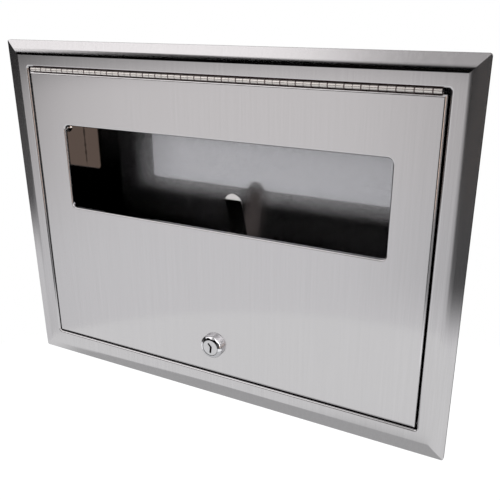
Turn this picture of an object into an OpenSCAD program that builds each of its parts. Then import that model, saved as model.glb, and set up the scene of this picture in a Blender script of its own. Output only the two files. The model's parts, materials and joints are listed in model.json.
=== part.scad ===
// Recessed dispenser for folded toilet seat covers.
// X runs to the right, Y into the wall, Z up. The wall's face is the plane Y = 0,
// and the origin is the middle of the door opening on that plane.

/* [Trim flange] */
// Width over the flange, mm
overall_width = 432; // [400:1:470]
// Height over the flange, mm
overall_height = 322; // [300:1:360]
// Flange width beside the opening, mm
side_margin = 23.5; // [20:0.5:30]
// Flange width above and below the opening, mm
end_margin = 23.5; // [20:0.5:30]
// Sheet thickness of the flange, mm
flange_sheet = 0.8; // [0.6:0.1:1]
// Straight rim that stands off the wall before the bevel, mm
rim_return = 2.4; // [1.6:0.1:4]
// Height that the bevel gains, mm
bevel_drop = 2.4; // [1.6:0.1:3.4]
// Width of the bevel, mm
bevel_run = 10.2; // [8:0.1:12]
// Radius of the soft bend between bevel and face, mm
bevel_bend_radius = 24; // [8:1:26]
// Radius of the flange's outer corners, mm
tip_radius = 2; // [1.2:0.1:4]
// Outside radius of the bend into the opening, mm
opening_bend_radius = 2; // [1.1:0.1:2.4]
// Corner radius of the opening, mm
opening_corner_radius = 1.8; // [1:0.1:4]
// Depth of the opening's return behind the wall face, mm
return_depth = 8; // [4:0.5:14]

/* [Cabinet] */
// Clear depth from the wall face to the back, mm
cabinet_depth = 63.6; // [56:0.2:90]
// Sheet thickness of the cabinet, mm
cabinet_sheet = 0.8; // [0.6:0.1:1.2]
// Inside radius of the body's two bends, mm
shell_bend_radius = 1; // [0.6:0.1:2]
// Width of the side panels' laps over the body, mm
lap_width = 12; // [8:0.5:18]
// Relief at the ends of the laps, mm
lap_relief = 4; // [3:0.5:8]

/* [Door] */
// Sheet thickness of the door, mm
door_sheet = 1.2; // [1:0.1:1.4]
// Gap between the door and the opening's sides and bottom, mm
door_gap = 1.5; // [1.2:0.1:3]
// Depth of the door's folded edges, mm
door_return = 12; // [12:0.5:16]
// Outside radius of the door's folds, mm
door_bend_radius = 2.3; // [1.5:0.1:2.3]
// Clear width of the window, mm
window_width = 311.8; // [240:0.2:330]
// Clear height of the window, mm
window_height = 79.4; // [50:0.2:100]
// Height of the window's middle above the origin, mm
window_level = 46.4; // [40:0.1:60]
// Sideways place of the window's middle, mm
window_place = 0.8; // [-8:0.1:8]
// Corner radius of the window, mm
window_corner_radius = 4.5; // [2:0.1:10]
// Outside radius of the bend into the window, mm
window_bend_radius = 1.6; // [1.5:0.1:2]
// Depth of the window's lip, mm
window_lip = 3; // [2.4:0.1:6]

/* [Piano hinge] */
// Outside radius of the knuckles, mm
knuckle_radius = 1.9; // [1.9:0.05:2.2]
// Length of one knuckle with its gap, mm
knuckle_pitch = 6.35; // [5:0.05:12]
// Gap between neighbouring knuckles, mm
knuckle_gap = 0.36; // [0.2:0.02:0.5]
// Sideways shift of the door's leaf, mm
leaf_shift = 0.06; // [0:0.01:0.08]
// Radius of the pin, mm
pin_radius = 1; // [0.8:0.05:1.05]
// Radial clearance of the pin in the knuckles, mm
pin_clearance = 0.05; // [0.02:0.01:0.08]
// Distance of the pin's axis in front of the flange's face, mm
pin_proud = 0.3; // [0.3:0.05:1]
// Sheet thickness of the leaves, mm
leaf_sheet = 0.8; // [0.6:0.05:0.9]
// Depth of the leaves behind the pin's axis, mm
leaf_depth = 12; // [8:0.5:12.5]

/* [Cam lock] */
// Height of the lock's axis above the door's lower edge, mm
lock_height = 29.5; // [27:0.5:40]
// Outside radius of the bezel, mm
bezel_radius = 11.3; // [11:0.1:12]
// Height of the bezel's crest over the door, mm
bezel_height = 6.2; // [5.8:0.1:7]
// Radius of the barrel, mm
barrel_radius = 9.5; // [9.3:0.1:10]
// Distance of the barrel's flats from its axis, mm
barrel_flat = 8; // [7.8:0.1:8.6]
// Radius of the plug's face, mm
plug_face_radius = 7.75; // [7.4:0.05:7.85]
// Radius of the plug's body, mm
plug_radius = 6; // [5.8:0.05:6.2]
// Radial clearance of the plug in the barrel, mm
plug_clearance = 0.05; // [0.02:0.01:0.08]
// Width of the keyway, mm
keyway_width = 1.5; // [1:0.1:2]
// Height of the keyway with its leaning end, mm
keyway_length = 7.9; // [7:0.1:8.2]
// Length of the cam from the lock's axis to its tip, mm
cam_length = 26.5; // [22:0.5:27]
// Width of the cam, mm
cam_width = 13; // [10:0.5:15]
// Thickness of the cam, mm
cam_sheet = 2; // [1.5:0.1:3]

/* [Keeper] */
// Thickness of the keeper bracket, mm
keeper_sheet = 1.2; // [1:0.1:2]
// Width of the keeper bracket, mm
keeper_width = 30; // [20:1:44]
// Height of the keeper's tab over the cabinet floor, mm
keeper_height = 11; // [8:0.5:12]
// Depth of the keeper's foot, mm
keeper_foot = 20; // [12:1:28]

/* [Paper tongue] */
// Width of the tongue, mm
tongue_width = 17; // [12:0.5:26]
// Sheet thickness of the tongue, mm
tongue_sheet = 0.8; // [0.6:0.1:1.2]
// Sideways place of the tongue's middle, mm
tongue_place = -1.5; // [-20:0.5:20]
// Height of the bend above the foot, from the origin, mm
tongue_root = -56; // [-90:1:-50]
// Height of the fold below the tip, from the origin, mm
tongue_fold = 21.6; // [0:0.2:26]
// Lean of the tongue out of the back wall, degrees
tongue_lean = 16.5; // [8:0.5:20]
// Height of the tip above the fold, mm
tongue_tip = 6.4; // [4:0.2:12]
// Length of the foot on the back wall, mm
tongue_foot = 24; // [12:1:36]

/* [Mounting screws] */
// Distance between the two screws of a side, mm
screw_spacing = 148; // [100:1:200]
// Distance of the screws behind the wall face, mm
screw_setback = 41; // [20:1:50]
// Radius of the screws' thread, mm
screw_radius = 2.4; // [2.1:0.1:3]
// Radius of the screws' heads, mm
screw_head_radius = 4.7; // [4.2:0.1:6]
// Height of the screws' heads, mm
screw_head_height = 3.1; // [2.6:0.1:4]
// Length of the screws under the head, mm
screw_length = 16; // [14:0.5:17]

/* [Hidden] */
$fn = 64;
reach = 1;

half_w = overall_width / 2;
half_h = overall_height / 2;
open_x = half_w - side_margin;
open_z = half_h - end_margin;
face_depth = rim_return + bevel_drop;
face_y = -face_depth;

bevel_angle = atan(bevel_drop / bevel_run);
bevel_tangent = bevel_bend_radius * tan(bevel_angle / 2);
bend_place = bevel_run + bevel_tangent;
bend_centre_depth = face_depth - bevel_bend_radius;
wedge_depth = 3;

shell_x = open_x + flange_sheet;
shell_z = open_z + flange_sheet;
shell_front = face_y + opening_bend_radius + 0.2;
shell_out_z = shell_z + cabinet_sheet;
shell_out_y = cabinet_depth + cabinet_sheet;
shell_corner = shell_bend_radius + cabinet_sheet;

leaf_offset = knuckle_radius - 0.05;
pin_y = face_y - pin_proud;
pin_z = open_z - leaf_offset;

door_x = open_x - door_gap;
door_bottom = -open_z + door_gap;
door_top = pin_z - leaf_offset;
door_half = (door_top - door_bottom) / 2;
door_middle = (door_top + door_bottom) / 2;
door_corner = door_bend_radius;

knuckle_pairs = floor((2 * door_x / knuckle_pitch - 1) / 2);
knuckle_count = 2 * knuckle_pairs + 1;
leaf_length = knuckle_count * knuckle_pitch - knuckle_gap;
notch_depth = knuckle_radius + 0.3;

stop_gap = 0.3;
cam_gap = 0.6;
washer_sheet = 1.2;
cam_plane = door_return + stop_gap + keeper_sheet + cam_gap;
shoulder = cam_plane - washer_sheet;
barrel_end = shoulder - stop_gap;
lock_z = door_bottom + lock_height;

face_clearance = 0.3;
bezel_bore = plug_face_radius + face_clearance;
dome_radius = 22;
shoulder_radius = 2.6;
dome_centre = bezel_height - sqrt(dome_radius * dome_radius - bezel_bore * bezel_bore);
shoulder_place = bezel_radius - shoulder_radius;
shoulder_level = dome_centre + sqrt(pow(dome_radius - shoulder_radius, 2) - pow(shoulder_place, 2));
shoulder_lean = asin(shoulder_place / (dome_radius - shoulder_radius));
face_recess = 0.15;
face_height = bezel_height - face_recess;
face_seat = 1.75;
body_bore = plug_radius + plug_clearance;

wafer_count = 5;
wafer_sheet = 1;
wafer_pitch = 1.8;
wafer_start = 0.5;
wafer_half = 4;
wafer_play = 0.05;
wafer_radius = plug_radius - 0.1;
window_play = 0.1;
ear_reach = 5.2;
ear_low = 1;
ear_high = 2;
pocket_floor = -2.6;
spring_radius = 0.33;
spring_wire = 0.12;
spring_place = (wafer_half + ear_reach) / 2 + 0.13;
spring_turns = 4;
spring_arc = 50;
retainer_place = 9.6;
retainer_reach = plug_radius + 0.7;
groove_radius = plug_radius + 1;
groove_play = 0.2;
keyway_depth = 9.2;
keyway_side = 0.25;
keyway_drop = 4.9;
keyway_elbow = 1;
keyway_lean = 1.6;

ring_bore = 7;
ring_height = 1.3;
ring_start = 107;
ring_sweep = 236;
stop_disc = 6.7;
stop_reach = 9;
stop_width = 3.6;
tail_half = 3.5;
tail_radius = 4.4;
tail_play = 0.1;
tail_short = 0.2;
cam_hub = 8;
nut_height = 3;
nut_across = 24;
cam_washer_radius = 6.5;
cam_washer_sheet = 0.8;
cam_screw_radius = 1.95;
cam_screw_hole = 2;
cam_screw_deep = 4.6;
cam_head_radius = 3.9;
cam_head_height = 2.8;
keeper_bend = 1;
keeper_corner = 3;
cam_tip_radius = cam_width / 2;

screw_hole = screw_radius + 0.2;
neck_radius = screw_radius - 0.3;
neck_length = cabinet_sheet + 0.4;
screw_point = 3;

// A rectangle of half sizes hx and hy with round corners of radius r.
module round_rect(hx, hy, r) {
  square([2 * (hx - r), 2 * hy], center = true);
  square([2 * hx, 2 * (hy - r)], center = true);
  for (sx = [-1, 1], sy = [-1, 1])
    translate([sx * (hx - r), sy * (hy - r)]) circle(r = r);
}

// Lays a flat outline on the plane Y = place, its thickness towards the wall.
module on_face(place, depth) {
  translate([0, place + depth, 0]) rotate([90, 0, 0]) linear_extrude(depth) children();
}

// Draws an outline of Y and Z out along X, about the middle.
module along_x(width) {
  rotate([90, 0, 90]) linear_extrude(width, center = true) children();
}

// The part of a ring between two angles.
module ring_part(r_in, r_out, from, sweep) {
  far = 2 * r_out;
  intersection() {
    difference() {
      circle(r = r_out);
      circle(r = r_in);
    }
    polygon([
      [0, 0],
      [far * cos(from), far * sin(from)],
      [far * cos(from + sweep / 2), far * sin(from + sweep / 2)],
      [far * cos(from + sweep), far * sin(from + sweep)]
    ]);
  }
}

// A straight leg of a bent strip. What follows starts at its end.
module leg(length, sheet) {
  square([length, sheet]);
  translate([length, 0]) children();
}

// A bend to the left, with the strip on the outside of the radius.
module bend_left(angle, radius, sheet) {
  translate([0, sheet + radius]) {
    ring_part(radius, radius + sheet, -90, angle);
    rotate(angle) translate([0, -sheet - radius]) children();
  }
}

// A bend to the right, with the strip on the outside of the radius.
module bend_right(angle, radius, sheet) {
  translate([0, -radius]) {
    ring_part(radius, radius + sheet, 90 - angle, angle);
    rotate(-angle) translate([0, radius]) children();
  }
}

// Outline of the flange's bevelled cover across one half size, drawn in from its skin.
module cover_profile(half, inset) {
  skin_radius = bevel_bend_radius - inset;
  rise = rim_return + inset * tan(bevel_angle) - inset / cos(bevel_angle);
  start_u = bend_place - skin_radius * sin(bevel_angle);
  start_d = bend_centre_depth + skin_radius * cos(bevel_angle);
  back = inset > 0 ? reach : 0;
  polygon([
    [-(half - inset), back],
    [-(half - inset), -rise],
    [-(half - start_u), -start_d],
    [-(half - bend_place), -(face_depth - inset)],
    [half - bend_place, -(face_depth - inset)],
    [half - start_u, -start_d],
    [half - inset, -rise],
    [half - inset, back]
  ]);
  for (side = [-1, 1])
    translate([side * (half - bend_place), -bend_centre_depth])
      intersection() {
        circle(r = skin_radius);
        bend_wedge(side, skin_radius);
      }
}

// The slice of the bend's circle that rounds the fold between bevel and face.
module bend_wedge(side, skin_radius) {
  near = skin_radius - wedge_depth;
  far = skin_radius + reach;
  lean_x = side * sin(bevel_angle);
  lean_y = -cos(bevel_angle);
  polygon([
    [near * lean_x, near * lean_y],
    [far * lean_x, far * lean_y],
    [0, -far],
    [0, -near]
  ]);
}

// The cover as a mitred block: two profiles crossed, with the corner tips rounded.
module cover_block(inset) {
  intersection() {
    linear_extrude(overall_height + 2 * reach, center = true)
      cover_profile(half_w, inset);
    rotate([0, -90, 0]) linear_extrude(overall_width + 2 * reach, center = true)
      cover_profile(half_h, inset);
    on_face(-2 * face_depth, 4 * face_depth)
      round_rect(half_w - inset, half_h - inset, tip_radius - inset);
  }
}

// Section of a turned-in lip: X away from the opening, Y the depth behind the face.
module lip_profile(radius, sheet, depth) {
  translate([radius, radius]) ring_part(radius - sheet, radius, 180, 90);
  translate([0, radius]) square([sheet, depth - radius]);
}

// The lip carried round an opening of half sizes hx and hz, behind the plane Y = place.
module lip_ring(place, hx, hz, corner, radius, sheet, depth) {
  translate([0, place, 0]) rotate([90, 0, 0]) {
    for (side = [0, 180])
      rotate(side) translate([hx, 0, 0]) rotate([90, 0, 0])
        linear_extrude(2 * (hz - corner), center = true)
          mirror([0, 1]) lip_profile(radius, sheet, depth);
    for (side = [90, 270])
      rotate(side) translate([hz, 0, 0]) rotate([90, 0, 0])
        linear_extrude(2 * (hx - corner), center = true)
          mirror([0, 1]) lip_profile(radius, sheet, depth);
    for (turn = [0:3])
      translate([
        (turn == 0 || turn == 3 ? 1 : -1) * (hx - corner),
        (turn < 2 ? 1 : -1) * (hz - corner), 0
      ]) rotate(90 * turn) rotate_extrude(angle = 90)
        translate([corner, 0]) mirror([0, 1]) lip_profile(radius, sheet, depth);
  }
}

// Flange drawn from one sheet: bevelled rim, mitred corners, return round the opening.
module trim_flange() color("lightsteelblue") {
  difference() {
    cover_block(0);
    cover_block(flange_sheet);
    on_face(face_y - reach, face_depth + 2 * reach)
      round_rect(
        open_x + opening_bend_radius, open_z + opening_bend_radius,
        opening_corner_radius + opening_bend_radius
      );
  }
  lip_ring(
    face_y, open_x, open_z, opening_corner_radius,
    opening_bend_radius, flange_sheet, face_depth + return_depth
  );
}

// Top, back and bottom of the cabinet, bent from one sheet.
module cabinet_shell() color("silver") {
  run = cabinet_depth - shell_bend_radius - shell_front;
  along_x(2 * shell_x)
    translate([shell_front, shell_z])
      leg(run, cabinet_sheet)
        bend_right(90, shell_bend_radius, cabinet_sheet)
          leg(2 * (shell_z - shell_bend_radius), cabinet_sheet)
            bend_right(90, shell_bend_radius, cabinet_sheet)
              leg(run, cabinet_sheet);
}

// Section of a side panel's lap with its folded corner.
module lap_profile() {
  translate([-lap_width, 0]) square([lap_width, cabinet_sheet]);
  intersection() {
    circle(r = cabinet_sheet);
    square(2 * cabinet_sheet);
  }
}

// Right side panel, with laps over the body and holes for its screws.
module side_panel() {
  difference() {
    translate([shell_x, 0, 0]) rotate([90, 0, 90]) linear_extrude(cabinet_sheet)
      intersection() {
        translate([shell_out_y / 2, 0]) round_rect(shell_out_y / 2, shell_out_z, shell_corner);
        translate([shell_front, -shell_out_z])
          square([shell_out_y - shell_front, 2 * shell_out_z]);
      }
    screw_places() translate([0, 0, -reach])
      cylinder(r = screw_hole, h = cabinet_sheet + 2 * reach);
  }
  translate([shell_x, 0, 0]) rotate([90, 0, 90]) linear_extrude(cabinet_sheet)
    translate([shell_front, -shell_out_z])
      square([shell_corner - shell_front, 2 * shell_out_z]);
  lap_run = shell_out_y - lap_relief - shell_front;
  for (side = [0, 1])
    mirror([0, 0, side]) translate([shell_x, shell_front + lap_run, shell_out_z])
      rotate([90, 0, 0]) linear_extrude(lap_run) lap_profile();
  translate([shell_x, shell_out_y, 0])
    linear_extrude(2 * (shell_out_z - lap_relief), center = true) lap_profile();
}

module right_side_panel() color("gainsboro") side_panel();

module left_side_panel() color("gainsboro") mirror([1, 0, 0]) side_panel();

// Outline across the door, rounded where the face folds back.
module pan_profile(half, inset) {
  r = door_bend_radius - inset;
  hub = half - door_bend_radius;
  back = inset > 0 ? face_y + door_return + reach : face_y + door_return;
  translate([-(half - inset), face_y + door_bend_radius])
    square([2 * (half - inset), back - face_y - door_bend_radius]);
  translate([-hub, face_y + inset]) square([2 * hub, back - face_y - inset]);
  for (side = [-1, 1])
    translate([side * hub, face_y + door_bend_radius]) circle(r = r);
}

// The door as a block with rounded front edges and corners.
module pan_block(inset) {
  translate([0, 0, door_middle]) intersection() {
    linear_extrude(2 * (door_half + reach), center = true) pan_profile(door_x, inset);
    rotate([0, -90, 0]) linear_extrude(2 * (door_x + reach), center = true)
      pan_profile(door_half, inset);
    on_face(face_y - reach, door_return + 3 * reach)
      round_rect(door_x - inset, door_half - inset, door_corner - inset);
  }
}

// Barrel outline of the lock with its two flats, grown by a play.
module barrel_outline(play) {
  intersection() {
    circle(r = barrel_radius + play);
    square([2 * (barrel_flat + play), 4 * barrel_radius], center = true);
  }
}

// Door panel with folded edges, a lipped window and the lock's hole.
module door_panel() color("lightgray") {
  difference() {
    pan_block(0);
    pan_block(door_sheet);
    translate([window_place, 0, window_level]) on_face(face_y - reach, door_sheet + 2 * reach)
      round_rect(
        window_width / 2 + window_bend_radius, window_height / 2 + window_bend_radius,
        window_corner_radius + window_bend_radius
      );
    translate([0, 0, lock_z]) on_face(face_y - reach, door_sheet + 2 * reach)
      barrel_outline(tail_play);
  }
  translate([window_place, 0, window_level])
    lip_ring(
      face_y, window_width / 2, window_height / 2, window_corner_radius,
      window_bend_radius, door_sheet, window_lip
    );
}

// One leaf of the piano hinge. Knuckles stand at every second place from first.
module hinge_leaf(flip, first, shift) {
  translate([shift, pin_y, pin_z]) mirror([0, 0, flip])
    difference() {
      along_x(leaf_length) {
        circle(r = knuckle_radius);
        translate([0, leaf_offset - leaf_sheet]) square([leaf_depth, leaf_sheet]);
      }
      along_x(leaf_length + 2 * reach) circle(r = pin_radius + pin_clearance);
      for (i = [1 - first:2:knuckle_count - 1])
        translate([(i - knuckle_pairs) * knuckle_pitch, 0, 0])
          knuckle_notch();
    }
}

// Room for the other leaf's knuckle.
module knuckle_notch() {
  translate([0, notch_depth / 2 - reach, 0])
    cube([
      knuckle_pitch + knuckle_gap, notch_depth + 2 * reach + notch_depth,
      2 * notch_depth
    ], center = true);
}

module hinge_frame_leaf() color("lightsteelblue") hinge_leaf(0, 0, 0);

module hinge_door_leaf() color("lightgray") hinge_leaf(1, 1, leaf_shift);

module hinge_pin() color("gray")
  translate([0, pin_y, pin_z]) along_x(leaf_length) circle(r = pin_radius);

// Stands a lock piece on the door's face, with Z into the door and Y downwards.
module at_lock() {
  translate([0, face_y, lock_z]) rotate([-90, 0, 0]) children();
}

// Lock housing: domed bezel, barrel with flats and the stop ring at its end.
module lock_housing() color("silver") at_lock() difference() {
  union() {
    rotate_extrude() bezel_section();
    linear_extrude(barrel_end) barrel_outline(0);
    translate([0, 0, barrel_end]) linear_extrude(ring_height) intersection() {
      barrel_outline(0);
      rotate(ring_start) stop_ring_sector();
    }
  }
  translate([0, 0, -face_seat - 2 * bezel_height]) cylinder(r = bezel_bore, h = 2 * bezel_height);
  translate([0, 0, -bezel_height]) cylinder(r = body_bore, h = bezel_height + barrel_end + reach);
  translate([0, 0, retainer_place - groove_play])
    cylinder(r = groove_radius, h = wafer_sheet + 2 * groove_play);
  translate([-wafer_half - tail_play, -groove_radius, wafer_start])
    cube([
      2 * (wafer_half + tail_play), 2 * groove_radius,
      wafer_count * wafer_pitch - wafer_start
    ]);
}

// Half section of the bezel: a shallow dome that rounds over into a straight wall.
module bezel_section() mirror([0, 1]) intersection() {
  square([bezel_radius, 2 * bezel_height]);
  union() {
    square([bezel_radius, shoulder_level]);
    translate([shoulder_place, shoulder_level]) circle(r = shoulder_radius);
    intersection() {
      translate([0, dome_centre]) circle(r = dome_radius);
      polygon([
        [0, 0],
        [shoulder_place, 0],
        [shoulder_place, shoulder_level],
        [shoulder_place + (shoulder_radius + reach) * sin(shoulder_lean),
         shoulder_level + (shoulder_radius + reach) * cos(shoulder_lean)],
        [0, shoulder_level + bezel_height]
      ]);
    }
  }
}

// Sector of the ring that leaves the stop washer's ear a quarter turn.
module stop_ring_sector() {
  far = 2 * barrel_radius;
  difference() {
    circle(r = far);
    circle(r = ring_bore);
    polygon([
      [0, 0],
      [far * 2, 0],
      [far * 2, -far * 2],
      [far * 2 * cos(ring_sweep), far * 2 * sin(ring_sweep)]
    ]);
  }
}

// Plug with its face, keyway, wafer slots and squared tail.
module lock_plug() color("gainsboro") at_lock() difference() {
  union() {
    translate([0, 0, -face_height]) cylinder(r = plug_face_radius, h = face_height - face_seat);
    translate([0, 0, -face_seat]) cylinder(r = plug_radius, h = shoulder + face_seat);
    translate([0, 0, shoulder]) linear_extrude(washer_sheet + cam_sheet - tail_short)
      tail_outline(0);
  }
  translate([0, 0, -face_height - reach]) linear_extrude(face_height + keyway_depth + reach)
    keyway_outline();
  for (i = [0:wafer_count - 1])
    translate([0, 0, wafer_start + i * wafer_pitch]) {
      wafer_slot();
      translate([0, pocket_floor, -wafer_play])
        cube([ear_reach + 2 * wafer_play, ear_high - pocket_floor + wafer_play,
          wafer_sheet + 2 * wafer_play]);
    }
  translate([0, 0, retainer_place]) wafer_slot();
  translate([0, 0, shoulder + washer_sheet + cam_sheet - tail_short - cam_screw_deep])
    cylinder(r = cam_screw_hole, h = cam_screw_deep + reach);
}

// Bent keyway: straight below, with an upper end that leans to the left.
module keyway_outline() {
  left = keyway_side - keyway_width / 2;
  right = keyway_side + keyway_width / 2;
  top = keyway_drop - keyway_length;
  polygon([
    [left, keyway_drop],
    [right, keyway_drop],
    [right, -keyway_elbow - keyway_width / 2],
    [right - keyway_lean, top],
    [left - keyway_lean, top],
    [left, -keyway_elbow]
  ]);
}

// Window of a wafer, a little larger than the keyway all round.
module wafer_window() {
  left = keyway_side - keyway_width / 2 - keyway_lean - window_play;
  top = keyway_drop - keyway_length - window_play;
  translate([left, top])
    square([keyway_width + keyway_lean + 2 * window_play, keyway_length + 2 * window_play]);
}

// Slot that one wafer slides in.
module wafer_slot() {
  translate([-wafer_half - wafer_play, -plug_radius - reach, -wafer_play])
    cube([
      2 * (wafer_half + wafer_play), 2 * (plug_radius + reach),
      wafer_sheet + 2 * wafer_play
    ]);
}

// Squared tail that turns the stop washer and the cam.
module tail_outline(play) {
  intersection() {
    circle(r = tail_radius + play);
    square(2 * (tail_half + play), center = true);
  }
}

// Tumbler wafers, drawn in as with the key in place.
module lock_tumblers() color("gold") at_lock()
  for (i = [0:wafer_count - 1])
    translate([0, 0, wafer_start + i * wafer_pitch]) {
      linear_extrude(wafer_sheet) difference() {
        union() {
          intersection() {
            circle(r = wafer_radius);
            square([2 * wafer_half, 4 * wafer_half], center = true);
          }
          translate([0, ear_low]) square([ear_reach, ear_high - ear_low]);
        }
        wafer_window();
      }
    }

// Section of the springs' flat wire, as the sector it fills in plan.
module spring_section() {
  inner = spring_radius - spring_wire;
  outer = spring_radius + spring_wire;
  polygon([
    [inner * cos(spring_arc), -inner * sin(spring_arc)],
    [outer * cos(spring_arc), -outer * sin(spring_arc)],
    [outer, 0],
    [outer * cos(spring_arc), outer * sin(spring_arc)],
    [inner * cos(spring_arc), inner * sin(spring_arc)],
    [inner, 0]
  ]);
}

// Coil springs under the wafers' ears.
module tumbler_springs() color("silver") at_lock()
  for (i = [0:wafer_count - 1])
    translate([spring_place, pocket_floor, wafer_start + i * wafer_pitch + wafer_sheet / 2])
      rotate([-90, 0, 0])
        linear_extrude(ear_low - pocket_floor, twist = -360 * spring_turns,
          slices = 8 * spring_turns, $fn = 6)
            spring_section();

// Wafer that reaches into the housing's groove and keeps the plug in.
module retaining_wafer() color("gold") at_lock()
  translate([0, 0, retainer_place]) linear_extrude(wafer_sheet) intersection() {
    circle(r = retainer_reach);
    translate([-wafer_half, -wafer_radius])
      square([2 * wafer_half, wafer_radius + retainer_reach]);
  }

// Washer whose ear runs against the housing's stop ring.
module stop_washer() color("silver") at_lock()
  translate([0, 0, shoulder]) linear_extrude(washer_sheet) difference() {
    union() {
      circle(r = stop_disc);
      translate([0, -stop_width / 2]) square([stop_reach, stop_width]);
    }
    tail_outline(tail_play);
  }

// Cam, pointing sideways while the lock is open.
module lock_cam() color("silver") at_lock()
  translate([0, 0, cam_plane]) linear_extrude(cam_sheet) difference() {
    union() {
      circle(r = cam_hub);
      translate([0, -cam_width / 2]) square([cam_length - cam_tip_radius, cam_width]);
      translate([cam_length - cam_tip_radius, 0]) circle(r = cam_tip_radius);
    }
    tail_outline(tail_play);
  }

module cam_washer() color("silver") at_lock()
  translate([0, 0, cam_plane + cam_sheet]) difference() {
    cylinder(r = cam_washer_radius, h = cam_washer_sheet);
    translate([0, 0, -reach])
      cylinder(r = cam_screw_hole + tail_play, h = cam_washer_sheet + 2 * reach);
  }

// Cam screw with a domed head and a cross recess.
module cam_screw() color("gray") at_lock() {
  seat = cam_plane + cam_sheet + cam_washer_sheet;
  deep = cam_sheet + cam_washer_sheet + cam_screw_deep - cam_sheet - tail_short - stop_gap;
  translate([0, 0, seat - deep]) cylinder(r = cam_screw_radius, h = deep);
  translate([0, 0, seat]) pan_head(cam_head_radius, cam_head_height);
}

// Domed screw head on the plane Z = 0, with a cross recess in its top.
module pan_head(radius, height) {
  dome = 1.5 * radius;
  slot = radius / 4;
  depth = height * 0.6;
  difference() {
    rotate_extrude() intersection() {
      square([radius, height]);
      translate([0, height - dome]) circle(r = dome);
    }
    translate([0, 0, height - depth]) intersection() {
      cylinder(r1 = slot, r2 = radius * 0.65, h = depth);
      linear_extrude(depth) {
        square([2 * radius, slot], center = true);
        square([slot, 2 * radius], center = true);
      }
    }
  }
}

// Hexagon nut that clamps the housing to the door.
module lock_nut() color("silver") at_lock() translate([0, 0, door_sheet]) difference() {
  cylinder(r = nut_across / sqrt(3), h = nut_height, $fn = 6);
  translate([0, 0, -reach])
    cylinder(r = barrel_radius + plug_clearance, h = nut_height + 2 * reach);
}

// Keeper bracket on the cabinet floor, with its tab in front of the cam's path.
module lock_keeper() color("silver") {
  tab_front = face_y + door_return + stop_gap;
  foot_run = keeper_foot - keeper_bend - keeper_sheet;
  intersection() {
    along_x(keeper_width)
      translate([tab_front + keeper_foot, -shell_z]) rotate(180) mirror([0, 1])
        leg(foot_run, keeper_sheet)
          bend_left(90, keeper_bend, keeper_sheet)
            leg(keeper_height - keeper_bend - keeper_sheet, keeper_sheet);
    on_face(tab_front - reach, keeper_foot + 2 * reach)
      translate([0, keeper_height / 2 - shell_z - keeper_corner / 2])
        round_rect(keeper_width / 2, (keeper_height + keeper_corner) / 2, keeper_corner);
  }
}

// Tongue that holds the folded covers: foot, leaning strip and upright round tip.
module paper_tongue() color("silver") {
  crook = tongue_sheet;
  lean_run = (tongue_fold - tongue_root) / cos(tongue_lean);
  intersection() {
    translate([tongue_place, 0, 0]) along_x(tongue_width)
      translate([cabinet_depth, tongue_root - tongue_foot]) rotate(90)
        leg(tongue_foot, tongue_sheet)
          bend_left(tongue_lean, crook, tongue_sheet)
            leg(lean_run, tongue_sheet)
              bend_right(tongue_lean, crook, tongue_sheet)
                leg(2 * tongue_tip, tongue_sheet);
    on_face(0, cabinet_depth + reach) translate([tongue_place, 0]) {
      tip = tongue_fold + tongue_tip;
      radius = tongue_width / 2;
      translate([0, tip - radius]) circle(r = radius);
      translate([-radius, tongue_root - tongue_foot - reach])
        square([tongue_width, tip - radius - tongue_root + tongue_foot + reach]);
    }
  }
}

// Stands a piece at both screw places of the right side, with Z outwards.
module screw_places() {
  for (side = [-1, 1])
    translate([shell_x, screw_setback, side * screw_spacing / 2]) rotate([0, 90, 0]) children();
}

// Mounting screw: head inside the cabinet, neck in the panel, thread and point outside.
module mounting_screw() {
  thread = screw_length - neck_length - screw_point;
  mirror([0, 0, 1]) pan_head(screw_head_radius, screw_head_height);
  cylinder(r = neck_radius, h = neck_length);
  translate([0, 0, neck_length]) cylinder(r = screw_radius, h = thread);
  translate([0, 0, neck_length + thread])
    cylinder(r1 = screw_radius, r2 = screw_radius / 8, h = screw_point);
}

module mounting_screws() color("silver") {
  screw_places() mounting_screw();
  mirror([1, 0, 0]) screw_places() mounting_screw();
}

trim_flange();
cabinet_shell();
right_side_panel();
left_side_panel();
door_panel();
hinge_frame_leaf();
hinge_door_leaf();
hinge_pin();
lock_housing();
lock_plug();
lock_tumblers();
tumbler_springs();
retaining_wafer();
stop_washer();
lock_cam();
cam_washer();
cam_screw();
lock_nut();
lock_keeper();
paper_tongue();
mounting_screws();
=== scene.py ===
"""Dresses the recessed toilet seat cover dispenser: brushed steel flange and door,
piano hinge, cam lock and bright cabinet, in a plain white studio."""

import json
import math

import bmesh
import bpy
from bpy.props import FloatProperty, FloatVectorProperty, PointerProperty
from bpy.types import Operator, Panel, PropertyGroup
from mathutils import Matrix, Vector


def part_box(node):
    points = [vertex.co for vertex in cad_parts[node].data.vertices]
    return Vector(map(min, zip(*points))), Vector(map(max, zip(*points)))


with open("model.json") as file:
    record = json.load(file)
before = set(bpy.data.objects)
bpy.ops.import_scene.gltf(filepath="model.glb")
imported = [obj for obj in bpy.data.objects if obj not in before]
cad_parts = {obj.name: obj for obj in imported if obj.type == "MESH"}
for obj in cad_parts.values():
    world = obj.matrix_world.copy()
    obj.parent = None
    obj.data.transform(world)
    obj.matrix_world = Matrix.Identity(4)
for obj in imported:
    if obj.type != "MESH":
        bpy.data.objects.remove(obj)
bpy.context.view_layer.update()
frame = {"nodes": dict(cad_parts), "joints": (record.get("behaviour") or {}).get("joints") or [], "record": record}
NODES = frame["nodes"]

bl_info = {
    "name": "Toilet seat cover dispenser",
    "version": (1, 0, 0),
    "blender": (4, 5, 0),
    "location": "View3D > Sidebar > Dispenser",
    "description": "Finishes and studio for a recessed dispenser",
    "category": "Object",
}

MM = 0.001


def named(rows, name):
    """The row of that name in one of the frame's lists."""
    return next(row for row in rows if row["name"] == name)


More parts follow.
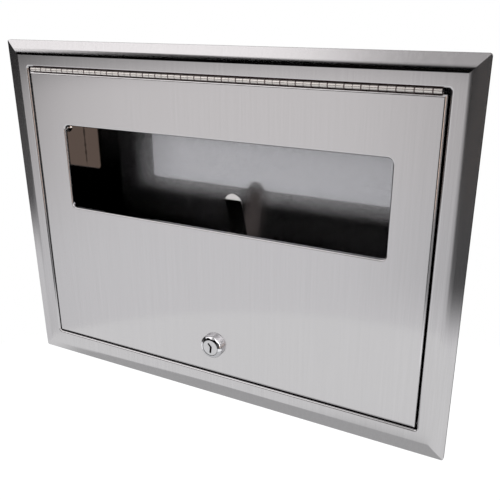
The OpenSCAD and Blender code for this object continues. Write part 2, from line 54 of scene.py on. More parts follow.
# Places that follow from the frame, in metres.
LOCK_Z = named(frame["joints"], "lock_turn")["pos_m"][2]
SCREW_Y, SCREW_Z = named(frame["record"]["mounts"], "screw_upper_right")["pos_m"][1:]
CABINET_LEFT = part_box("cabinet_shell")[0].x
CABINET_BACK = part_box("paper_tongue")[1].y
BEZEL_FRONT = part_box("lock_housing")[0].y
PLUG_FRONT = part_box("lock_plug")[0].y
PLUG_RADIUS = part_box("lock_plug")[1].x

# Colours of the finishes.
HINGE_STEEL = (0.6, 0.57, 0.545)
PIN_STEEL = (0.5, 0.48, 0.46)
BEZEL_CHROME = (0.74, 0.74, 0.76)
PLUG_CHROME = (0.56, 0.56, 0.57)
ZINC = (0.62, 0.62, 0.60)
BRASS = (0.72, 0.55, 0.27)
SPRING_WIRE = (0.5, 0.5, 0.5)
CABINET_MIRROR = (0.31, 0.316, 0.338)
SIDE_MIRROR = (0.72, 0.72, 0.72)
SIDE_HAZE = (0.04, 0.04, 0.04)
KEEPER_SHEET = (0.28, 0.28, 0.28)
TONGUE_STEEL = (0.6, 0.59, 0.58)
SCREW_PLATE = (0.8, 0.8, 0.8)
FLOOR_PALE = (0.62, 0.62, 0.625)
BLACK = (0.0, 0.0, 0.0)
WHITE = (1.0, 1.0, 1.0)

# The same steel is a little darker on the flange than on the door.
FLANGE_SHADE = 0.99
DOOR_SHADE = 1.02

# Painted shade that darkens the finishes in places, and an uneven dark line in the cabinet's seam.
DOOR_BACK_SHADE = (0.11, 0.107, 0.104)
TONGUE_BACK_SHADE = (0.13, 0.11, 0.1)
HINGE_SHADE_BROWN = (0.07, 0.035, 0.035)
PLUG_INSIDE_SHADE = (0.02, 0.018, 0.016)
PLUG_SHADOW = (0.02, 0.018, 0.017)
SEAM_DARK = (0.012, 0.01, 0.009)

# The grain of a metal: fine hairs and wider bands, drawn out along an axis, and broad clouds.
HAIR_SCALE = 2200.0
HAIR_SHARE = 0.55
BAND_SCALE = 700.0
CLOUD_SCALE = 22.0
GRAIN_DRAW = 0.012
CLOUD_DRAW = 0.18
GRAIN_RELIEF = 0.04 * MM
# Nearly all values of a noise lie between these two.
NOISE_SPAN = (0.3, 0.7)

# A face looks along an axis once its normal on that axis has passed such a span.
FACING_SPAN = (0.2, 0.5)
REAR_SPAN = (0.3, 0.6)

# The haze of the cabinet's sheets: small tilted facets, which lean upwards on the whole.
HAZE_SHARE = 0.5
HAZE_ROUGHNESS = 0.2
HAZE_TILT = 0.315
HAZE_LEAN = (0.0, 0.0, 0.12)
HAZE_END = (-150.0 * MM, -125.0 * MM)
FACET_SCALE = 9000.0
FACET_MIDDLE = 0.5

# The dark line in the seam of the cabinet's sheets, whose reach goes up and down with a noise.
SEAM_SCALE = 130.0
SEAM_REACH = 7.0 * MM
SEAM_BARE = 2.9 * MM
SEAM_SOFT = 0.6 * MM
SEAM_SHARE = 0.4
SEAM_END = (-170.0 * MM, -180.0 * MM)

# The hinge: the place within two knuckles, and the darkness of the painted shade, of its two kinds of joint.
KNUCKLE_PITCH = 6.35 * MM
JOINT_SHADES = ((0.75, 0.85), (0.25, 0.12))
JOINT_HALF_WIDTH = (0.02, 0.06)
# Painted shade on the knuckles' upper and lower flanks: the span of the normal's height over which it sets in, and
# its share.
FLANK_SPAN = (0.8, 0.93)
FLANK_SHARE = 0.85

# The lock: where the bezel turns dull, and the painted shade and shadows on the plug.
BEZEL_DULL = (BEZEL_FRONT + 2.2 * MM, BEZEL_FRONT + 3.0 * MM)
BEZEL_DULLING = 0.35
PLUG_DEPTH = (PLUG_FRONT + 0.3 * MM, PLUG_FRONT + 0.65 * MM)
PLUG_EDGE = (PLUG_RADIUS - 0.65 * MM, PLUG_RADIUS - 0.05 * MM)
PLUG_EDGE_SHARE = 0.6
# The arms of the keyway, along which shadow is painted, each from (x, z) to (x, z) from the lock's axis, in mm.
KEYWAY_ARMS = (((-1.6, 3.6), (0.9, 0.9)), ((0.9, 0.9), (0.0, -4.6)))
KEYWAY_HALF_WIDTH = (0.75 * MM, 1.25 * MM)
KEYWAY_SHARE = 0.97

# Threads: start along the shank, pitch and depth.
LOCK_THREAD = (-2.6 * MM, 1.0 * MM, 0.3 * MM)
SCREW_THREAD = (195.5 * MM, 1.8 * MM, 0.5 * MM)

# The photograph's viewpoint, found from the straight edges of flange and door.
CAMERA_PLACE = (0.27966, -0.46235, 0.19441)
CAMERA_RIGHT = (0.88644, 0.46279, -0.00669)
CAMERA_AHEAD = (-0.43399, 0.82608, -0.3595)
SENSOR_WIDTH = 36.0
FOCAL_LENGTH = 46.854
CLIP_NEAR = 0.01
CLIP_FAR = 50.0

# The floor, which glows so that the camera sees it white. Farther from its middle it also glows to all other rays,
# so that near the object it is darker in reflections: a painted shadow.
FLOOR_RADIUS = 1.1
FLOOR_GLOW = 0.45
FAR_GLOW = 0.43
SHADOW_EDGE_SPAN = (0.61, 0.66)

# The surround: a dome whose lights are placed by azimuth and height in degrees, seen from
# the object. Azimuth is 0 in front of the door and negative to its left. Each value below
# is the span over which a light changes. Where it doesn't go from 0 to 1, its two ends follow.
SURROUND_RADIUS = 12.0
COOL_LIGHT = (0.99, 0.985, 1.0)
WARM_LIGHT = (1.0, 0.975, 0.975)
BROWN_LIGHT = (1.0, 0.72, 0.56)
WARM_HEIGHTS = (-22.0, -6.0)

# The height of the table's far edge by azimuth, how soft it is, and how light the table is.
RIM_LEFT = ((-52.6, -46.2), (-17.6, -3.4))
RIM_RIGHT = ((-6.0, 11.0), (0.0, -22.4))
RIM_SOFTER = ((-66.0, -58.0), (3.0, 5.5))
RIM_SHARPER = ((-50.0, -42.0), (0.0, 2.4))
RIM_ACROSS = ((-1.0, 1.0), (1.0, 0.0))
TABLE_LEFT = ((-54.5, -41.0), (0.8, 1.0))
TABLE_SHADE = ((-19.2, -3.2), (0.0, 0.29))
TABLE_SHADE_HEIGHTS = (-30.0, -22.0)

# The light of the softboxes by azimuth, the height of their lower edge, and their fading.
BOX_LEFT = ((-74.0, -54.0), (0.34, 1.6))
BOX_DIMMER = ((-24.5, -15.0), (0.0, -1.05))
BOX_RIGHT = ((8.0, 22.0), (0.0, 1.7))
BOX_LAST = ((60.0, 80.0), (0.0, -1.7))
BOX_RISE = ((-51.0, -41.0), (5.0, 14.5))
BOX_DROP = ((-64.0, -56.0), (9.0, 0.0))
BOX_ACROSS = (-0.5, 0.5)
BOX_FADE = ((45.0, 65.0), (1.0, 0.6))

# The dim room between table and softboxes, with a brown patch and a lamp at the right.
ROOM_LEFT_HEIGHTS = ((0.0, -16.0), (0.035, 0.13))
ROOM_LEFT = ((-62.0, -54.0), (1.0, 0.0))
ROOM_RIGHT = ((2.0, 14.0), (0.0, 0.085))
ROOM_FAR_RIGHT = ((33.0, 38.0), (0.0, 0.3))
ROOM_TOP = (14.0, 11.0)
PATCH_LEVEL = 1.35
PATCH_HEIGHTS = ((-18.0, -16.0), (-2.0, -4.0))
PATCH_AZIMUTHS = ((37.6, 38.8), (51.0, 49.0))
LAMP_LEVEL = 2.6
LAMP_HEIGHTS = (-3.0, -1.0)
LAMP_AZIMUTHS = ((44.0, 47.0), (66.0, 62.0))


# Node helpers


def opaque(color):
    return (*color, 1.0)


def scaled(values, factor):
    return tuple(factor * value for value in values)


def drawn_out(along, amount):
    """The scale that draws a pattern out along x or z, or along neither."""
    return (amount if along == "x" else 1.0, 1.0, amount if along == "z" else 1.0)


class Tree:
    """The node tree of a material or a world, built by short calls."""

    def __init__(self, owner):
        owner.use_nodes = True
        self.owner = owner
        self.nodes = owner.node_tree.nodes
        self.links = owner.node_tree.links
        self.nodes.clear()

    def add(self, kind, inputs=None, **settings):
        """A new node. Each of its inputs gets a value or a link."""
        node = self.nodes.new(kind)
        for name, value in settings.items():
            setattr(node, name, value)
        for name, value in (inputs or {}).items():
            if isinstance(value, bpy.types.NodeSocket):
                self.links.new(value, node.inputs[name])
            else:
                node.inputs[name].default_value = value
        return node

    def math(self, operation, first, second=0.0, clamp=False):
        inputs = {0: first, 1: second}
        return self.add("ShaderNodeMath", inputs, operation=operation, use_clamp=clamp).outputs[0]

    def plus(self, first, *others):
        for other in others:
            first = self.math("ADD", first, other)
        return first

    def times(self, first, *others):
        for other in others:
            first = self.math("MULTIPLY", first, other)
        return first

    def minus(self, first, second):
        return self.math("SUBTRACT", first, second)

    def length(self, x, z):
        return self.math("SQRT", self.plus(self.times(x, x), self.times(z, z)))

    def vector(self, operation, *values, scale=None):
        """Vector arithmetic, in which only SCALE takes a scale."""
        inputs = dict(enumerate(values))
        if scale is not None:
            inputs["Scale"] = scale
        node = self.add("ShaderNodeVectorMath", inputs, operation=operation)
        return node.outputs["Value" if operation == "LENGTH" else "Vector"]

    def place(self, kind="Object"):
        """The object's own coordinates, or with "Normal" the face's normal in them."""
        return self.add("ShaderNodeTexCoord").outputs[kind]

    def axes(self, vector):
        """X, Y and Z of a vector."""
        return self.add("ShaderNodeSeparateXYZ", {0: vector}).outputs

    def noise(self, stretch, scale, detail, roughness):
        """Noise on the object's own coordinates."""
        mapping = self.add("ShaderNodeMapping", {"Vector": self.place(), "Scale": stretch})
        inputs = {
            "Vector": mapping.outputs[0],
            "Scale": scale,
            "Detail": detail,
            "Roughness": roughness,
        }
        return self.add("ShaderNodeTexNoise", inputs).outputs["Fac"]

    def ramp(self, value, span, ends=(0.0, 1.0), kind="LINEAR"):
        """Goes from the first end to the second while the value crosses the span."""
        inputs = {
            "Value": value,
            "From Min": span[0],
            "From Max": span[1],
            "To Min": ends[0],
            "To Max": ends[1],
        }
        return self.add("ShaderNodeMapRange", inputs, interpolation_type=kind).outputs[0]

    def ease(self, value, span, ends=(0.0, 1.0)):
        """A ramp that starts and stops softly."""
        return self.ramp(value, span, ends, "SMOOTHSTEP")

    def blend(self, share, first, second):
        """Goes from the first colour to the second. Each is three numbers or a socket."""
        node = self.add("ShaderNodeMix", {"Factor": share}, data_type="RGBA")
        for name, color in (("A", first), ("B", second)):
            if isinstance(color, bpy.types.NodeSocket):
                self.links.new(color, node.inputs[name])
            else:
                node.inputs[name].default_value = opaque(color)
        return node.outputs["Result"]


class Metal(Tree):
    """Metal with a grain along one axis and broad clouds.

    streak is the share by which the grain changes the colour, spread is how far it changes
    the roughness, and wear is how far the clouds do."""

    def __init__(self, name, color, roughness, along="z", streak=0.05, spread=0.03, wear=0.015):
        super().__init__(bpy.data.materials.new(name))
        fine = drawn_out(along, GRAIN_DRAW)
        broad = drawn_out(along, CLOUD_DRAW)
        hair = self.noise(fine, HAIR_SCALE, detail=2.0, roughness=0.7)
        band = self.noise(fine, BAND_SCALE, detail=3.0, roughness=0.6)
        cloud = self.noise(broad, CLOUD_SCALE, detail=2.0, roughness=0.5)
        self.grain = self.plus(self.times(hair, HAIR_SHARE), self.times(band, 1.0 - HAIR_SHARE))
        dark = scaled(color, 1.0 - streak)
        light = tuple(min(1.0, value) for value in scaled(color, 1.0 + streak))
        brushing = self.ramp(self.grain, NOISE_SPAN, (roughness - spread, roughness + spread))
        clouding = self.ramp(cloud, NOISE_SPAN, (-wear, wear))
        inputs = {
            "Base Color": self.blend(self.ramp(self.grain, NOISE_SPAN), dark, light),
            "Metallic": 1.0,
            "Roughness": self.math("ADD", brushing, clouding, clamp=True),
        }
        self.shader = self.add("ShaderNodeBsdfPrincipled", inputs)
        surface = {"Surface": self.shader.outputs[0]}
        self.output = self.add("ShaderNodeOutputMaterial", surface)

    def brush(self):
        """Spreads the gloss sideways, as brushing up and down does."""
        sideways = self.add("ShaderNodeCombineXYZ", {"X": 1.0})
        self.links.new(sideways.outputs[0], self.shader.inputs["Tangent"])
        self.shader.inputs["Anisotropic"].default_value = 1.0

    def relief(self, height, distance, strength=1.0):
        """Raises the surface by the distance where the height is 1."""
        inputs = {"Height": height, "Strength": strength, "Distance": distance}
        bump = self.add("ShaderNodeBump", inputs)
        self.links.new(bump.outputs[0], self.shader.inputs["Normal"])

    def paint_shade(self, share, color):
        """Mixes a colour into the metal's own; every use here paints shade."""
        socket = self.shader.inputs["Base Color"]
        self.links.new(self.blend(share, socket.links[0].from_socket, color), socket)

    def dull(self, amount):
        """Adds to the roughness."""
        socket = self.shader.inputs["Roughness"]
        self.links.new(self.plus(socket.links[0].from_socket, amount), socket)

    def cover(self, share, shader):
        """Mixes another shader into the surface."""
        socket = self.output.inputs["Surface"]
        under = socket.links[0].from_socket
        both = self.add("ShaderNodeMixShader", {0: share, 1: under, 2: shader.outputs[0]})
        self.links.new(both.outputs[0], socket)


def facing(metal, axis, way):
    """1 on faces that look along an axis, forwards if way is 1 and backwards if it is -1."""
    return metal.ramp(metal.axes(metal.place("Normal"))[axis], scaled(FACING_SPAN, way))


def paint_rear_shade(metal, color):
    """Paints shade on the faces that look into the wall."""
    metal.paint_shade(metal.ramp(metal.axes(metal.place("Normal"))["Y"], REAR_SPAN), color)


def thread_relief(metal, along, across, up, thread):
    """Turns a plain shank into a screw thread by relief."""
    start, pitch, depth = thread
    turn = metal.math("DIVIDE", metal.math("ARCTAN2", up, across), 2.0 * math.pi)
    turns = metal.plus(metal.math("DIVIDE", along, pitch), turn)
    # A tooth rises to a half over half a turn, so twice the depth gives it the full depth.
    tooth = metal.math("PINGPONG", turns, 0.5)
    cut = metal.ramp(along, (start, start + 0.5 * pitch))
    metal.relief(metal.times(tooth, cut), 2.0 * depth)


def dress(node, metal):
    """Gives a CAD node its finish."""
    mesh = NODES[node].data
    mesh.materials.clear()
    mesh.materials.append(metal.owner)


# Settings


class DispenserFinish(PropertyGroup):
    """Colours and roughness of the finishes."""

    steel: FloatVectorProperty(
        name="Steel colour",
        description="Colour of the brushed flange and door",
        subtype="COLOR",
        default=(0.521, 0.514, 0.52),
        min=0.0,
        max=1.0,
    )
    door_roughness: FloatProperty(
        name="Door roughness",
        description="Roughness of the door's vertical brushing",
        subtype="FACTOR",
        default=0.12,
        min=0.05,
        max=0.8,
    )
    flange_roughness: FloatProperty(
        name="Flange roughness",
        description="Roughness of the flange",
        subtype="FACTOR",
        default=0.12,
        min=0.05,
        max=0.8,
    )
    cabinet: FloatVectorProperty(
        name="Cabinet colour",
        description="Colour of the haze on the cabinet's bright sheet",
        subtype="COLOR",
        default=(0.482, 0.486, 0.5),
        min=0.0,
        max=1.0,
    )


class DispenserStudio(PropertyGroup):
    """Levels of the studio."""

    room: FloatProperty(
        name="Room level",
        description="Strength of the even white light of the room",
        default=1.0,
        min=0.0,
        max=4.0,
    )
    surround: FloatProperty(
        name="Surround level",
        description="Brightness of the surroundings in the reflections",
        default=1.0,
        min=0.0,
        max=8.0,
    )
    floor_drop: FloatProperty(
        name="Floor drop",
        description="Distance of the floor below the middle of the door opening",
        subtype="DISTANCE",
        unit="LENGTH",
        default=0.62,
        min=0.2,
        max=2.0,
    )


# Flange and door


def flange_steel(finish):
    """Satin steel, brushed up and down."""
    color = scaled(finish.steel, FLANGE_SHADE)
    steel = Metal(
        "satin flange steel", color, finish.flange_roughness, streak=0.06, spread=0.008, wear=0.003
    )
    steel.brush()
    return steel


def door_steel(finish):
    """Steel brushed up and down, with painted shade on the door's inner side."""
    color = scaled(finish.steel, DOOR_SHADE)
    steel = Metal(
        "brushed door steel", color, finish.door_roughness, streak=0.03, spread=0.005, wear=0.002
    )
    steel.brush()
    paint_rear_shade(steel, DOOR_BACK_SHADE)
    return steel


class DISPENSER_OT_finish_flange(Operator):
    """Gives the flange its satin steel"""

    bl_idname = "dispenser.finish_flange"
    bl_label = "Finish the flange"

    def execute(self, context):
        dress("trim_flange", flange_steel(context.scene.dispenser_finish))
        return {"FINISHED"}


class DISPENSER_OT_finish_door(Operator):
    """Gives the door its vertical brushing"""

    bl_idname = "dispenser.finish_door"
    bl_label = "Finish the door"

    def execute(self, context):
        dress("door_panel", door_steel(context.scene.dispenser_finish))
        return {"FINISHED"}


# Hinge


def joint_shade_lines(steel):
    """Painted shade in the gaps where the hinge's knuckles meet, deeper at every second joint."""
    along = steel.axes(steel.place())["X"]
    count = steel.math("DIVIDE", along, 2.0 * KNUCKLE_PITCH)
    for shift, darkness in JOINT_SHADES:
        step = steel.math("FRACT", steel.plus(count, 0.5 + shift))
        away = steel.math("ABSOLUTE", steel.minus(step, 0.5))
        steel.paint_shade(steel.ramp(away, JOINT_HALF_WIDTH, (darkness, 0.0)), HINGE_SHADE_BROWN)


def dark_flanks(steel):
    """Darkens the knuckles' upper and lower flanks, which turn from the light."""
    lift = steel.math("ABSOLUTE", steel.axes(steel.place("Normal"))["Z"])
    steel.paint_shade(steel.ramp(lift, FLANK_SPAN, (0.0, FLANK_SHARE)), HINGE_SHADE_BROWN)


def hinge_steel():
    """Drawn steel, with painted shade at the joints and on the flanks of its knuckles."""
    steel = Metal("hinge steel", HINGE_STEEL, roughness=0.25, along="x")
    steel.relief(steel.grain, GRAIN_RELIEF, strength=0.1)
    joint_shade_lines(steel)
    dark_flanks(steel)
    return steel


class DISPENSER_OT_finish_hinge(Operator):
    """Gives the piano hinge its steel"""

    bl_idname = "dispenser.finish_hinge"
    bl_label = "Finish the hinge"

    def execute(self, context):
        steel = hinge_steel()
        dress("hinge_frame_leaf", steel)
        dress("hinge_door_leaf", steel)
        dress("hinge_pin", Metal("hinge pin steel", PIN_STEEL, roughness=0.25, along="x"))
        return {"FINISHED"}


# Lock


def bezel_chrome():
    """Chrome that is bright on the bezel and dull behind it, with a thread on the barrel."""
    chrome = Metal("bezel chrome", BEZEL_CHROME, roughness=0.07, along="")
    x, y, z = chrome.axes(chrome.place())
    chrome.dull(chrome.ramp(y, BEZEL_DULL, (0.0, BEZEL_DULLING)))
    thread_relief(chrome, y, x, chrome.minus(z, LOCK_Z), LOCK_THREAD)
    return chrome


def keyway_arm(chrome, x, z, start, end):
    """Painted shadow near the line from start to end, which are (x, z) in mm."""
    run, rise = (end[0] - start[0]) * MM, (end[1] - start[1]) * MM
    from_x = chrome.minus(x, start[0] * MM)
    from_z = chrome.minus(z, start[1] * MM)
    along = chrome.plus(chrome.times(from_x, run), chrome.times(from_z, rise))
    share = chrome.math("DIVIDE", along, run * run + rise * rise, clamp=True)
    off_x = chrome.minus(from_x, chrome.times(share, run))
    off_z = chrome.minus(from_z, chrome.times(share, rise))
    return chrome.ramp(chrome.length(off_x, off_z), KEYWAY_HALF_WIDTH, (KEYWAY_SHARE, 0.0))


def plug_shadows(chrome):
    """Paints shadow at the plug's edge and in the mouth of its keyway."""
    x, _, height = chrome.axes(chrome.place())
    z = chrome.minus(height, LOCK_Z)
    shadow = chrome.ramp(chrome.length(x, z), PLUG_EDGE, (0.0, PLUG_EDGE_SHARE))
    for start, end in KEYWAY_ARMS:
        shadow = chrome.math("MAXIMUM", shadow, keyway_arm(chrome, x, z, start, end))
    chrome.paint_shade(shadow, PLUG_SHADOW)


def plug_chrome():
    """Satin chrome, with painted shade behind the plug's face, at its edge and in the keyway's mouth."""
    chrome = Metal("plug chrome", PLUG_CHROME, roughness=0.25, along="")
    chrome.relief(chrome.grain, GRAIN_RELIEF, strength=0.05)
    # Painted shade on the plug's faces behind its front, in the keyway.
    chrome.paint_shade(chrome.ramp(chrome.axes(chrome.place())["Y"], PLUG_DEPTH), PLUG_INSIDE_SHADE)
    plug_shadows(chrome)
    return chrome


def rough_plate(name, color):
    """Plate or sheet with an even, slightly rough grain."""
    plate = Metal(name, color, roughness=0.3, along="")
    plate.relief(plate.grain, GRAIN_RELIEF, strength=0.1)
    return plate


class DISPENSER_OT_finish_lock(Operator):
    """Gives the cam lock its chrome, zinc and brass"""

    bl_idname = "dispenser.finish_lock"
    bl_label = "Finish the lock"

    def execute(self, context):
        dress("lock_housing", bezel_chrome())
        dress("lock_plug", plug_chrome())
        zinc = rough_plate("zinc plate", ZINC)
        for node in ("stop_washer", "lock_cam", "cam_washer", "cam_screw", "lock_nut"):
            dress(node, zinc)
        brass = rough_plate("stamped brass", BRASS)
        dress("lock_tumblers", brass)
        dress("retaining_wafer", brass)
        dress("tumbler_springs", Metal("spring wire", SPRING_WIRE, roughness=0.3, along=""))
        return {"FINISHED"}


# Cabinet


def haze(sheet, color):
    """Clouds the sheet's mirror by fine facets, but not at the left end of its inner side."""
    place = sheet.place()
    inputs = {"Vector": place, "Scale": FACET_SCALE, "Randomness": 1.0}
    facets = sheet.add("ShaderNodeTexVoronoi", inputs).outputs["Color"]
    middle = tuple(FACET_MIDDLE - lean / HAZE_TILT for lean in HAZE_LEAN)
    tilt = sheet.vector("SCALE", sheet.vector("SUBTRACT", facets, middle), scale=HAZE_TILT)
    normal = sheet.add("ShaderNodeNewGeometry").outputs["Normal"]
    leaning = sheet.vector("NORMALIZE", sheet.vector("ADD", normal, tilt))
    share = sheet.ramp(sheet.axes(place)["X"], HAZE_END)
    share = sheet.math("MAXIMUM", share, facing(sheet, "Y", 1))
    inputs = {
        "Color": sheet.blend(share, BLACK, color),
        "Roughness": HAZE_ROUGHNESS,
        "Normal": leaning,
    }
    cloudy = sheet.add("ShaderNodeBsdfAnisotropic", inputs, distribution="BECKMANN")
    sheet.cover(HAZE_SHARE, cloudy)


def corner_seam(sheet, axis, corner, inside):
    """Uneven dark line along the left back corner, on the inner faces. The axis crosses the seam."""
    place = sheet.axes(sheet.place())
    away = sheet.math("ABSOLUTE", sheet.minus(place[axis], corner))
    uneven = sheet.noise((1.0, 1.0, 1.0), SEAM_SCALE, detail=4.0, roughness=0.7)
    reach = sheet.minus(sheet.times(uneven, SEAM_REACH), SEAM_BARE)
    dark_line = sheet.ramp(sheet.minus(away, reach), (0.0, SEAM_SOFT), (SEAM_SHARE, 0.0))
    dark_line = sheet.times(dark_line, sheet.ramp(place["X"], SEAM_END), inside)
    sheet.cover(dark_line, sheet.add("ShaderNodeBsdfDiffuse", {"Color": opaque(SEAM_DARK)}))


def bright_sheet(name, mirror, cloud):
    """Bare sheet that mirrors sharply, with a haze round each mirror image."""
    sheet = Metal(name, mirror, roughness=0.04, streak=0.02, spread=0.01, wear=0.005)
    haze(sheet, cloud)
    return sheet


def cabinet_sheet(finish):
    """Bright sheet of the cabinet's top, back and bottom, with the seam's dark line on its back."""
    cloud = scaled(finish.cabinet, 1.0 / HAZE_SHARE)
    sheet = bright_sheet("bright cabinet sheet", CABINET_MIRROR, cloud)
    corner_seam(sheet, "X", CABINET_LEFT, facing(sheet, "Y", -1))
    return sheet


def side_sheet():
    """Bright sheet of the side panels, with the seam's dark line on the left one."""
    sheet = bright_sheet("bright side sheet", SIDE_MIRROR, SIDE_HAZE)
    corner_seam(sheet, "Y", CABINET_BACK, facing(sheet, "X", 1))
    return sheet


def tongue_steel():
    """Bright steel, with painted shade on the tongue's rear."""
    steel = Metal("bright tongue steel", TONGUE_STEEL, roughness=0.12)
    paint_rear_shade(steel, TONGUE_BACK_SHADE)
    return steel


def screw_plate():
    """Zinc plate with a thread on each of the four shanks."""
    plate = Metal("zinc screw plate", SCREW_PLATE, roughness=0.12, along="")
    x, y, z = plate.axes(plate.place())
    along = plate.math("ABSOLUTE", x)
    level = plate.times(plate.math("SIGN", z), SCREW_Z)
    thread_relief(plate, along, plate.minus(y, SCREW_Y), plate.minus(z, level), SCREW_THREAD)
    return plate


class DISPENSER_OT_finish_cabinet(Operator):
    """Gives the cabinet, keeper, tongue and screws their bright metal"""

    bl_idname = "dispenser.finish_cabinet"
    bl_label = "Finish the cabinet"

    def execute(self, context):
        dress("cabinet_shell", cabinet_sheet(context.scene.dispenser_finish))
        side = side_sheet()
        dress("left_side_panel", side)
        dress("right_side_panel", side)
        dress("lock_keeper", Metal("bright keeper sheet", KEEPER_SHEET, roughness=0.2))
        dress("paper_tongue", tongue_steel())
        dress("mounting_screws", screw_plate())
        return {"FINISHED"}


# Studio


def directions(dome):
    """Azimuth and height of the dome's points in degrees, seen from the object."""
    x, y, z = dome.axes(dome.vector("NORMALIZE", dome.place()))
    azimuth = dome.math("DEGREES", dome.math("ARCTAN2", x, dome.times(y, -1.0)))
    height = dome.math("DEGREES", dome.math("ARCSINE", z))
    return azimuth, height


def table_light(dome, azimuth, height):
    """A white table below. Its far edge is lower at the sides than in front, and its right
    part is shaded near that edge."""
    rim = dome.plus(dome.ease(azimuth, *RIM_LEFT), dome.ease(azimuth, *RIM_RIGHT))
    softness = dome.minus(dome.ease(azimuth, *RIM_SOFTER), dome.ease(azimuth, *RIM_SHARPER))
    over = dome.math("DIVIDE", dome.minus(height, rim), softness)
    table = dome.times(dome.ease(over, *RIM_ACROSS), dome.ease(azimuth, *TABLE_LEFT))
    shade = dome.times(dome.ease(azimuth, *TABLE_SHADE), dome.ease(height, TABLE_SHADE_HEIGHTS))
    return dome.times(table, dome.minus(1.0, shade))


def softbox_light(dome, azimuth, height):
    """Softboxes above: bright at the left and at the right, and dimmer in front."""
    left = dome.plus(dome.ease(azimuth, *BOX_LEFT), dome.ease(azimuth, *BOX_DIMMER))
    right = dome.plus(dome.ease(azimuth, *BOX_RIGHT), dome.ease(azimuth, *BOX_LAST))
    low = dome.plus(dome.ease(azimuth, *BOX_RISE), dome.ease(azimuth, *BOX_DROP))
    above = dome.ease(dome.minus(height, low), BOX_ACROSS)
    return dome.times(dome.plus(left, right), above, dome.ease(height, *BOX_FADE))


def brown_patch(dome, azimuth, height):
    """1 in the brown patch at the right of the room, and 0 elsewhere."""
    edges = [dome.ease(height, span) for span in PATCH_HEIGHTS]
    edges += [dome.ease(azimuth, span) for span in PATCH_AZIMUTHS]
    return dome.times(*edges)


def room_light(dome, azimuth, height, patch):
    """A dim room between the table and the softboxes."""
    left = dome.times(dome.ease(height, *ROOM_LEFT_HEIGHTS), dome.ease(azimuth, *ROOM_LEFT))
    right = dome.ease(azimuth, *ROOM_RIGHT)
    far_right = dome.ease(azimuth, *ROOM_FAR_RIGHT)
    lamp = dome.ease(height, LAMP_HEIGHTS)
    for span in LAMP_AZIMUTHS:
        lamp = dome.times(lamp, dome.ease(azimuth, span))
    spots = (dome.times(patch, PATCH_LEVEL), dome.times(lamp, LAMP_LEVEL))
    return dome.times(dome.plus(left, right, far_right, *spots), dome.ease(height, ROOM_TOP))


def add_object(name, bm, material):
    """A new object in the scene from a bmesh, which it frees."""
    mesh = bpy.data.meshes.new(name)
    bm.to_mesh(mesh)
    bm.free()
    mesh.materials.append(material)
    obj = bpy.data.objects.new(name, mesh)
    bpy.context.scene.collection.objects.link(obj)
    return obj


def build_surround(level):
    """A dome round the object that shows only in its reflections."""
    dome = Tree(bpy.data.materials.new("surround light"))
    azimuth, height = directions(dome)
    patch = brown_patch(dome, azimuth, height)
    table = table_light(dome, azimuth, height)
    boxes = softbox_light(dome, azimuth, height)
    room = room_light(dome, azimuth, height, patch)
    color = dome.blend(dome.ease(height, WARM_HEIGHTS), COOL_LIGHT, WARM_LIGHT)
    inputs = {
        "Color": dome.blend(patch, color, BROWN_LIGHT),
        "Strength": dome.times(dome.plus(table, boxes, room), level),
    }
    light = dome.add("ShaderNodeEmission", inputs)
    dome.add("ShaderNodeOutputMaterial", {"Surface": light.outputs[0]})
    bm = bmesh.new()
    bmesh.ops.create_uvsphere(bm, u_segments=64, v_segments=32, radius=SURROUND_RADIUS)
    surround = add_object("surround", bm, dome.owner)
    surround.visible_camera = False
    surround.visible_diffuse = False
    surround.visible_shadow = False
    surround.visible_transmission = False


def build_floor(drop):
    """A pale floor, white to the camera, that keeps the shadow, with a painted shadow near the object where it
    glows less.
    """
    pale = Tree(bpy.data.materials.new("pale floor"))
    camera = pale.add("ShaderNodeLightPath").outputs["Is Camera Ray"]
    # The glow to all rays begins away from the middle; the unglowing middle is a painted shadow.
    far = pale.ramp(pale.vector("LENGTH", pale.place()), SHADOW_EDGE_SPAN, (0.0, FAR_GLOW))
    strength = pale.math("MINIMUM", pale.math("MAXIMUM", camera, far), FLOOR_GLOW)
    plain = pale.add("ShaderNodeBsdfDiffuse", {"Color": opaque(FLOOR_PALE)})
    glow = pale.add("ShaderNodeEmission", {"Color": opaque(WHITE), "Strength": strength})
    both = pale.add("ShaderNodeAddShader", {0: plain.outputs[0], 1: glow.outputs[0]})
    pale.add("ShaderNodeOutputMaterial", {"Surface": both.outputs[0]})
    bm = bmesh.new()
    bmesh.ops.create_circle(bm, cap_ends=True, segments=96, radius=FLOOR_RADIUS)
    floor = add_object("studio_floor", bm, pale.owner)
    floor.location = (0.0, 0.0, -drop)


def build_room(level):
    """Even white room, always full white to the camera."""
    world = bpy.data.worlds.new("studio_room")
    bpy.context.scene.world = world
    room = Tree(world)
    camera = room.add("ShaderNodeLightPath").outputs["Is Camera Ray"]
    inputs = {"Factor": camera, "A": level, "B": 1.0}
    strength = room.add("ShaderNodeMix", inputs, data_type="FLOAT").outputs[0]
    light = room.add("ShaderNodeBackground", {"Color": opaque(WHITE), "Strength": strength})
    room.add("ShaderNodeOutputWorld", {"Surface": light.outputs[0]})


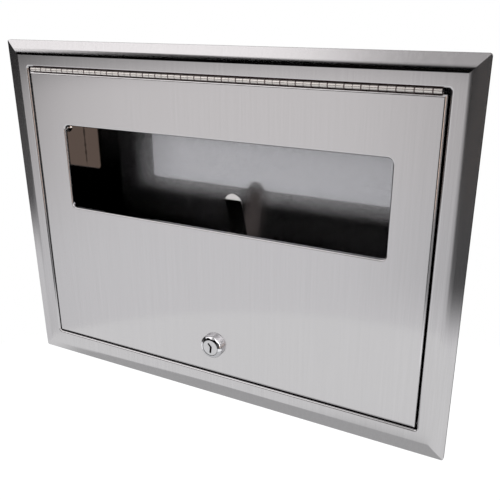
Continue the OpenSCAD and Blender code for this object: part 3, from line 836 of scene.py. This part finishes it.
def build_camera():
    """The photograph's viewpoint."""
    data = bpy.data.cameras.new("camera")
    data.sensor_width = SENSOR_WIDTH
    data.sensor_fit = "HORIZONTAL"
    data.lens = FOCAL_LENGTH
    data.clip_start = CLIP_NEAR
    data.clip_end = CLIP_FAR
    camera = bpy.data.objects.new("camera", data)
    bpy.context.scene.collection.objects.link(camera)
    forward = Vector(CAMERA_AHEAD).normalized()
    up = Vector(CAMERA_RIGHT).normalized().cross(forward).normalized()
    right = forward.cross(up)
    turn = Matrix((right, up, -forward)).transposed()
    camera.matrix_world = Matrix.Translation(CAMERA_PLACE) @ turn.to_4x4()
    bpy.context.scene.camera = camera


class DISPENSER_OT_build_studio(Operator):
    """Builds the floor, the room's light, the reflected surround and the camera"""

    bl_idname = "dispenser.build_studio"
    bl_label = "Build the studio"

    def execute(self, context):
        studio = context.scene.dispenser_studio
        context.scene.view_settings.view_transform = "Standard"
        build_floor(studio.floor_drop)
        build_room(studio.room)
        build_surround(studio.surround)
        build_camera()
        return {"FINISHED"}


# Panel and registration


class DISPENSER_PT_panel(Panel):
    """Settings and steps of the dispenser"""

    bl_idname = "DISPENSER_PT_panel"
    bl_label = "Dispenser"
    bl_space_type = "VIEW_3D"
    bl_region_type = "UI"
    bl_category = "Dispenser"

    def draw(self, context):
        layout = self.layout
        for group in (context.scene.dispenser_finish, context.scene.dispenser_studio):
            box = layout.box()
            for name in group.__annotations__:
                box.prop(group, name)
        for operator in OPERATORS:
            layout.operator(operator.bl_idname)


OPERATORS = (
    DISPENSER_OT_finish_flange,
    DISPENSER_OT_finish_door,
    DISPENSER_OT_finish_hinge,
    DISPENSER_OT_finish_lock,
    DISPENSER_OT_finish_cabinet,
    DISPENSER_OT_build_studio,
)
CLASSES = (DispenserFinish, DispenserStudio, *OPERATORS, DISPENSER_PT_panel)


def register():
    for cls in CLASSES:
        bpy.utils.register_class(cls)
    bpy.types.Scene.dispenser_finish = PointerProperty(type=DispenserFinish)
    bpy.types.Scene.dispenser_studio = PointerProperty(type=DispenserStudio)


def unregister():
    del bpy.types.Scene.dispenser_studio
    del bpy.types.Scene.dispenser_finish
    for cls in reversed(CLASSES):
        bpy.utils.unregister_class(cls)


def main():
    register()
    bpy.ops.dispenser.finish_flange()
    bpy.ops.dispenser.finish_door()
    bpy.ops.dispenser.finish_hinge()
    bpy.ops.dispenser.finish_lock()
    bpy.ops.dispenser.finish_cabinet()
    bpy.ops.dispenser.build_studio()


if __name__ == "__main__":
    main()
